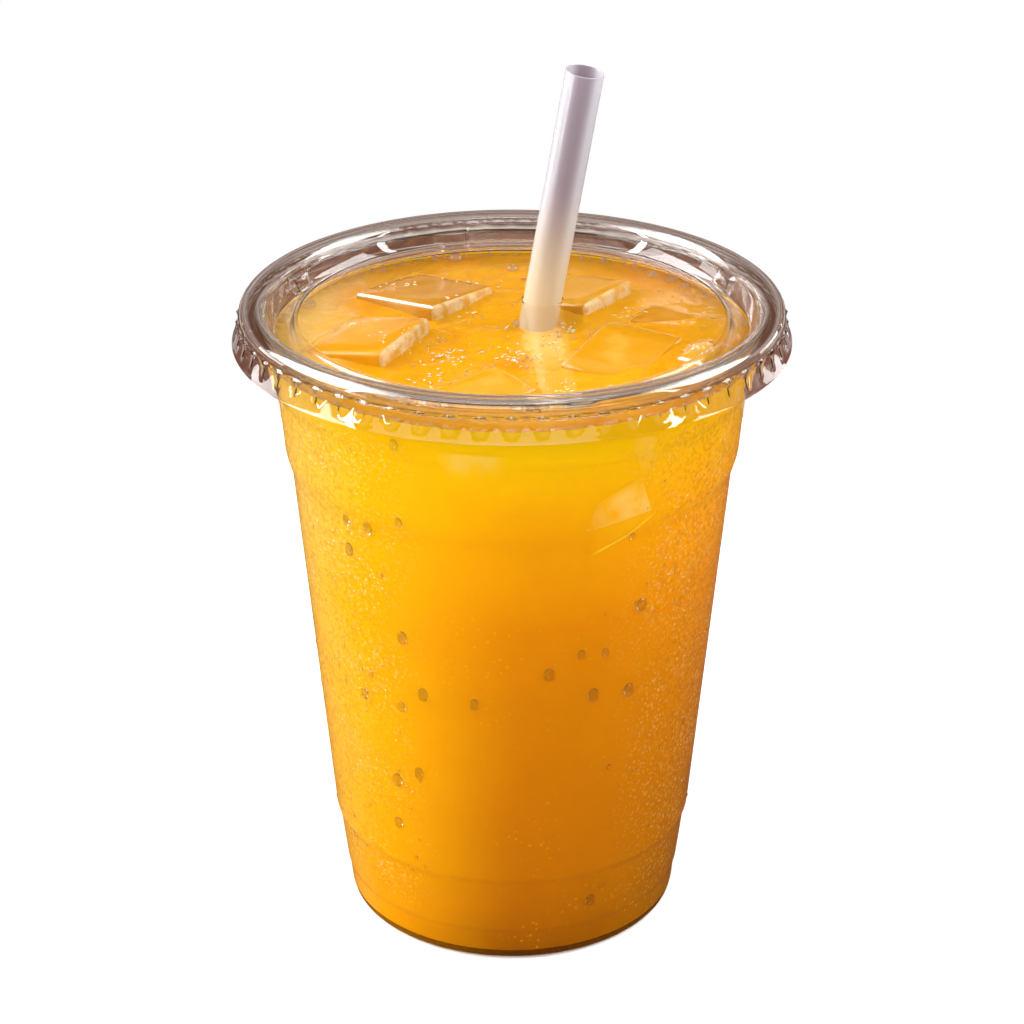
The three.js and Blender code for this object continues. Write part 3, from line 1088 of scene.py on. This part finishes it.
def makeBubbles():
    chance = random.Random(11)
    level = juiceLevel / mm
    edge = lineRadius(cupInside, level) - bubbleValues["wallGap"]
    places = []
    angle = 0.0
    while angle < 360:
        size = chance.uniform(*bubbleValues["ringSize"])
        turn = math.radians(angle)
        radius = edge - size * 0.5
        places.append(((radius * math.sin(turn), -radius * math.cos(turn), level + 0.35), (size,) * 3, 0))
        angle += math.degrees(chance.uniform(*bubbleValues["ringGap"]) / edge)
    for (x, y), size in bubbleValues["big"]:
        places.append(((x, y, level + size * 0.25), (size, size, size * 0.8), 0))
    for (x, y), spread, count in bubbleValues["clusters"]:
        for k in range(count):
            place = (x + chance.gauss(0, spread / 2), y + chance.gauss(0, spread / 2))
            away = gapToIce(Vector((place[0] * mm, place[1] * mm, 0)))
            if math.hypot(*place) > edge - 1 or away < 0.3:
                continue
            size = chance.uniform(*bubbleValues["clusterSize"])
            places.append(((place[0], place[1], level + 0.1 + 0.5 * math.exp(-away)), (size,) * 3, 0))
    return beads("surfaceBubbles", places)


print("bubbles")
bubbleSkin = newMaterial(
    "bubbleSkin", Base_Color=bubbleValues["tint"], Transmission_Weight=0.85, IOR=1.33, Roughness=0.03)[0]
finishPiece(makeBubbles(), bubbleSkin)


# Painted glints: small light beads where wet edges and ripples catch the light

glintValues = {
    "white": (0.88, 0.76, 0.54, 1),
    "short": (0.06, 0.14),
    "long": (0.14, 0.55),
    # centre, spread, count and direction of each group, in mm and degrees
    "groups": [((-8, 28), (5, 3), 16, 20), ((-28, 3), (6, 1.2), 10, 10), ((-22, -8), (5, 5), 18, 60),
               ((-12, -9), (4, 7), 34, 30), ((-15, -20), (5, 3), 14, 10), ((1, -9), (5, 6), 32, 20),
               ((10.5, 5), (2.5, 3), 16, 40), ((-0.8, 5.2), (0.8, 1), 6, 70), ((34, -8), (3, 4), 18, 50),
               ((-10, 13), (4, 3), 10, 0), ((9, -24), (6, 4), 14, 10), ((22, 13), (7, 4), 12, 15),
               ((-22, 22), (5, 3), 12, 30), ((8, -4), (2, 8), 14, 65)],
    "thick": 0.12,
}


def makeGlints():
    chance = random.Random(23)
    places = []
    for (x, y), (wide, deep), count, turn in glintValues["groups"]:
        for k in range(count):
            place = (x + chance.gauss(0, wide / 2), y + chance.gauss(0, deep / 2))
            height = juiceLevel / mm + surfaceRise(place)
            radii = (chance.uniform(*glintValues["long"]), chance.uniform(*glintValues["short"]))
            radii += (glintValues["thick"],)
            places.append(((*place, height), radii, math.radians(turn + chance.gauss(0, 35))))
    return beads("surfaceGlints", places, 8, 5)


def surfaceRise(place):     # how far the top stands above the juice's level there, in mm
    spot = Vector((place[0] * mm, place[1] * mm, juiceLevel + 20 * mm))
    rise = 0.1
    for piece in topPieces:
        hit, point, normal, face = piece.ray_cast(spot, Vector((0, 0, -1)))
        if hit:
            rise = max(rise, (point.z - juiceLevel) / mm)
    return rise


print("glints")
topPieces = [piece for piece in bpy.data.objects if piece.name.endswith(("juiceBody", "_block"))]
paintedWetGlint = newMaterial("paintedWetGlint", Base_Color=glintValues["white"], Roughness=0.1, IOR=1.33)[0]
finishPiece(makeGlints(), paintedWetGlint)


# Cold drops on the outside of the cup

dewValues = {
    # across, height and size of the drops that the photo shows, in mm
    "measured": [(-29.6, 91.2, 0.9), (-25.7, 91.3, 1.0), (-29.3, 85.1, 1.0), (-20.0, 94.6, 0.7),
                 (-19.8, 70.1, 1.0), (-16.2, 58.8, 1.0), (-20.2, 54.9, 0.9), (-27.2, 54.6, 0.9),
                 (-6.8, 58.4, 0.8), (-21.3, 38.0, 1.1), (-17.2, 41.1, 0.9), (-21.3, 28.3, 1.0),
                 (6.7, 64.9, 1.0), (14.8, 59.2, 1.1), (21.3, 58.3, 1.1), (14.8, 12.1, 1.0),
                 (23.3, 76.0, 1.2), (16.8, 67.8, 0.8), (12.5, 68.3, 0.8), (-20.5, 110.5, 0.8)],
    "flat": 0.34,
    "fine": 330,
    "fineSize": (0.16, 0.42),
    "water": (1.0, 0.98, 0.94, 1),
}


def makeDew():
    chance = random.Random(5)
    places = []

    def addDrop(turn, height, size, tall):
        radius = lineRadius(cupOutside, height)
        centre = (radius * math.sin(turn), -radius * math.cos(turn), height)
        places.append((centre, (size, size * dewValues["flat"], size * tall), turn))

    for across, height, size in dewValues["measured"]:
        turn = math.asin(across / lineRadius(cupOutside, height))
        addDrop(turn, height, size, chance.uniform(1.15, 1.4))
    for k in range(dewValues["fine"]):
        height = chance.uniform(9, 112)
        if chance.random() < 0.5:
            turn = math.radians(-90 + chance.uniform(-62, 62))
        else:
            turn = math.radians(chance.uniform(22, 330 - 62))
        size = chance.uniform(*dewValues["fineSize"]) * (1.5 if chance.random() < 0.12 else 1)
        addDrop(turn, height, size, chance.uniform(1.0, 1.25))
    return beads("coldDrops", places, 10, 7)


print("dew")
coldWater = newMaterial(
    "coldWater", Base_Color=dewValues["water"], Transmission_Weight=1.0, IOR=1.33, Roughness=0.02)[0]
finishPiece(makeDew(), coldWater)


# Floor, lights and camera

stageValues = {
    "floorColour": (0.97, 0.97, 0.97, 1),
    "floorMirrored": (0.12, 0.05, 0.03, 1),
    "floorRadius": 0.24,
    "skyWhite": (1.0, 1.0, 1.0, 1),
    "fillLow": (0.75, 0.745, 0.74, 1),
    "fillHigh": (0.85, 0.84, 0.82, 1),
    "room": [(-1000, (0.20, 0.08, 0.05)), (-800, (0.18, 0.07, 0.045)), (-700, (0.50, 0.38, 0.33)),
             (-620, (0.16, 0.065, 0.04)), (-500, (0.17, 0.065, 0.04)), (-440, (0.62, 0.50, 0.45)),
             (-390, (0.22, 0.09, 0.06)), (-300, (0.13, 0.05, 0.03)), (-200, (0.80, 0.70, 0.66)),
             (-130, (0.20, 0.10, 0.07)), (-30, (0.14, 0.06, 0.04)), (40, (0.70, 0.60, 0.56)),
             (100, (0.16, 0.08, 0.05)), (180, (0.75, 0.66, 0.62)), (300, (0.10, 0.05, 0.03)),
             (480, (0.10, 0.05, 0.03)), (650, (0.85, 0.80, 0.76)), (800, (0.35, 0.28, 0.25)),
             (1000, (0.9, 0.85, 0.82))],
    # place, height aimed at, size and power of each light
    "lights": {
        "keySoftbox": ((-0.72, 0.05, 0.68), 0.08, (0.8, 0.8), 13),
        "frontSoftbox": ((-0.25, -1.1, 0.9), 0.08, (2.4, 0.5), 9),
        "rightSoftbox": ((0.75, 0.08, 0.65), 0.12, (0.6, 0.6), 8),
        "leftSheen": ((-0.66, 0.12, 0.60), 0.12, (0.6, 0.6), 9),
        "frontSheen": ((0, -0.36, 0.88), 0.12, (0.9, 0.10), 2),
        "leftLow": ((-0.83, 0.34, 0.20), 0.12, (0.30, 0.20), 1.5),
        "rightLow": ((0.73, 0.53, 0.12), 0.12, (0.30, 0.15), 0.8),
        "leftStrip": ((-0.70, -0.30, 0.42), 0.10, (0.05, 0.5), 3.2),
        "rightStrip": ((0.70, -0.30, 0.42), 0.10, (0.05, 0.4), 1.6),
    },
    "cameraDistance": 0.560,
    "cameraElevation": 24.92,
    "aimHeight": 0.07939,
    "focalPixels": 2957.2,
    "imagePixels": 1024,
    "sensorWidth": 36.0,
}


def makeFloor():
    deselectAll()
    bpy.ops.mesh.primitive_circle_add(
        vertices=128, radius=stageValues["floorRadius"], fill_type="NGON", location=(0, 0, 0))
    floor = bpy.context.active_object
    floor.name = "floor"
    material, nodes, link, shader = newMaterial("paleFloor", Roughness=0.6, Specular_IOR_Level=0.0)
    path = nodes.new("ShaderNodeLightPath")
    mirrored = sums(nodes, link, "SUBTRACT", path.outputs["Is Glossy Ray"], path.outputs["Diffuse Depth"])
    colour = mixColours(nodes, link, mirrored, stageValues["floorColour"], stageValues["floorMirrored"])
    link(colour, shader.inputs["Base Color"])
    floor.data.materials.append(material)


def makeLights():       # the softboxes light the object, and the others only show as highlights
    for name, (place, aimHeight, size, power) in stageValues["lights"].items():
        data = bpy.data.lights.new(name, "AREA")
        data.shape = "RECTANGLE"
        data.size, data.size_y = size
        data.energy = power
        light = bpy.data.objects.new(name, data)
        bpy.context.scene.collection.objects.link(light)
        light.location = place
        aim = Vector((0, 0, aimHeight)) - Vector(place)
        light.rotation_euler = aim.to_track_quat("-Z", "Y").to_euler()
        light.visible_glossy = name != "frontSoftbox"
        light.visible_diffuse = name.endswith("Softbox")
        light.visible_transmission = name.endswith("Softbox")


def makeRoom():     # white to the eye, soft fill for matt things, a dim warm room in the clear plastic
    world = bpy.data.worlds.new("studioRoom")
    world.use_nodes = True
    nodes, link = world.node_tree.nodes, world.node_tree.links.new
    place, x, y, z = places3(nodes, link)
    height = sums(nodes, link, "MULTIPLY_ADD", noiseAt(nodes, link, place, 3.0, 4), 0.16, z)
    height = sums(nodes, link, "SUBTRACT", height, 0.08)
    room = heightRamp(nodes, link, height, stageValues["room"])
    upwards = fade(nodes, link, z, -0.1, 0.7)
    fill = mixColours(nodes, link, upwards, stageValues["fillLow"], stageValues["fillHigh"])
    path = nodes.new("ShaderNodeLightPath")
    bounced = sums(nodes, link, "MINIMUM", path.outputs["Diffuse Depth"], 1.0)
    matt = mixColours(nodes, link, bounced, room, fill)
    seen = mixColours(nodes, link, path.outputs["Is Camera Ray"], matt, stageValues["skyWhite"])
    link(seen, nodes["Background"].inputs["Color"])
    bpy.context.scene.world = world


def makeCamera():
    tilt = math.radians(stageValues["cameraElevation"])
    reach = stageValues["cameraDistance"]
    aim = Vector((0, 0, stageValues["aimHeight"]))
    data = bpy.data.cameras.new("photoCamera")
    camera = bpy.data.objects.new("photoCamera", data)
    bpy.context.scene.collection.objects.link(camera)
    camera.location = aim + Vector((0, -reach * math.cos(tilt), reach * math.sin(tilt)))
    camera.rotation_euler = (aim - camera.location).to_track_quat("-Z", "Y").to_euler()
    data.sensor_width = stageValues["sensorWidth"]
    data.lens = stageValues["focalPixels"] / stageValues["imagePixels"] * stageValues["sensorWidth"]
    data.clip_start = 0.01
    bpy.context.scene.camera = camera


print("stage")
makeFloor()
makeLights()
makeRoom()
makeCamera()
scene = bpy.context.scene
scene.view_settings.view_transform = "Standard"
scene.cycles.diffuse_bounces = 2
scene.cycles.glossy_bounces = 4
scene.cycles.transmission_bounces = 9
scene.cycles.max_bounces = 10
